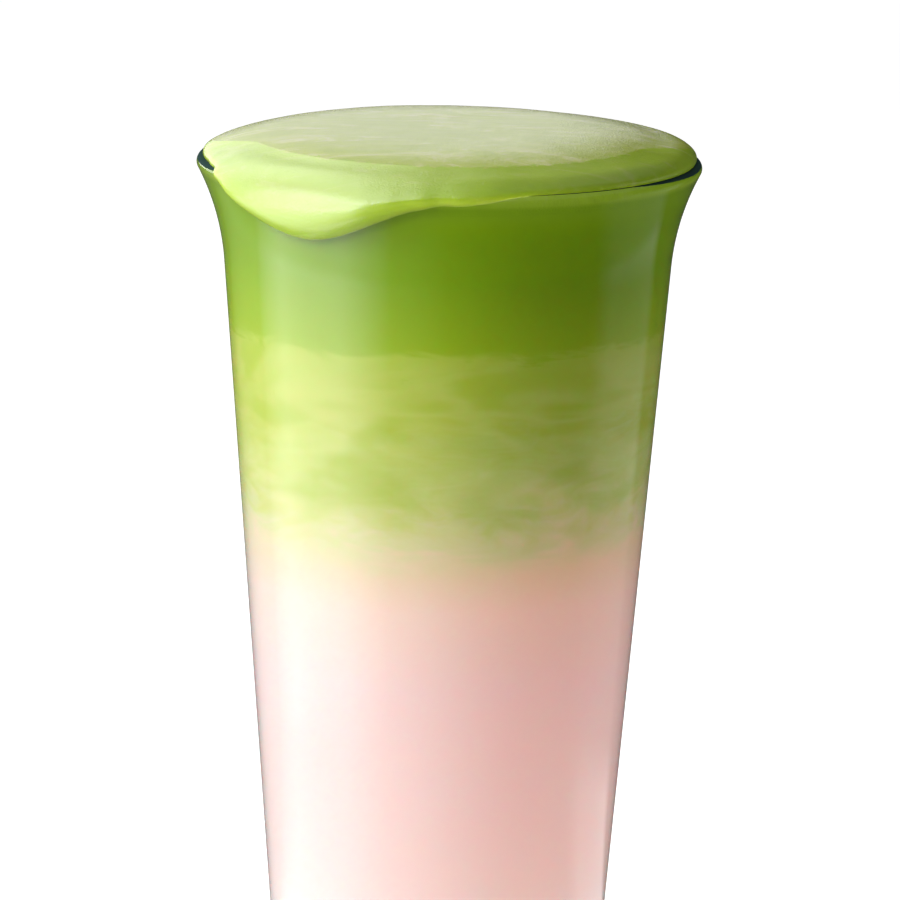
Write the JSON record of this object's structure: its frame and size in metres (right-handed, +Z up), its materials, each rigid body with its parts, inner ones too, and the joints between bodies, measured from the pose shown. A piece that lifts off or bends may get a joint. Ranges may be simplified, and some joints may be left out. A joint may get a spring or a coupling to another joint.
{
  "type": "matcha cheese foam drink",
  "caption": "Layered drink in a flared glass tumbler: pink milk, a marbled band and green matcha, under a crown of matcha cheese foam that runs over the lip.",
  "frame": {"origin": "middle of the underside of the glass, on the surface that it stands on", "axes": "+Z up along the glass's axis; the front, with the foam's lobe to its left, faces -Y; +X is to the right seen from the front"},
  "size_m": [0.09, 0.0908, 0.1552],
  "materials": {
    "glass": "clear, smooth",
    "matcha_foam": "wet, satin foam",
    "matcha": "opaque drink",
    "marbled_milk": "opaque drink, swirled",
    "pink_milk": "opaque drink"
  },
  "bodies": {
    "root": {"glass_tumbler": "glass", "matcha_foam": "matcha_foam", "matcha_layer": "matcha", "marbled_layer": "marbled_milk", "pink_milk_layer": "pink_milk"}
  },
  "joints": []
}
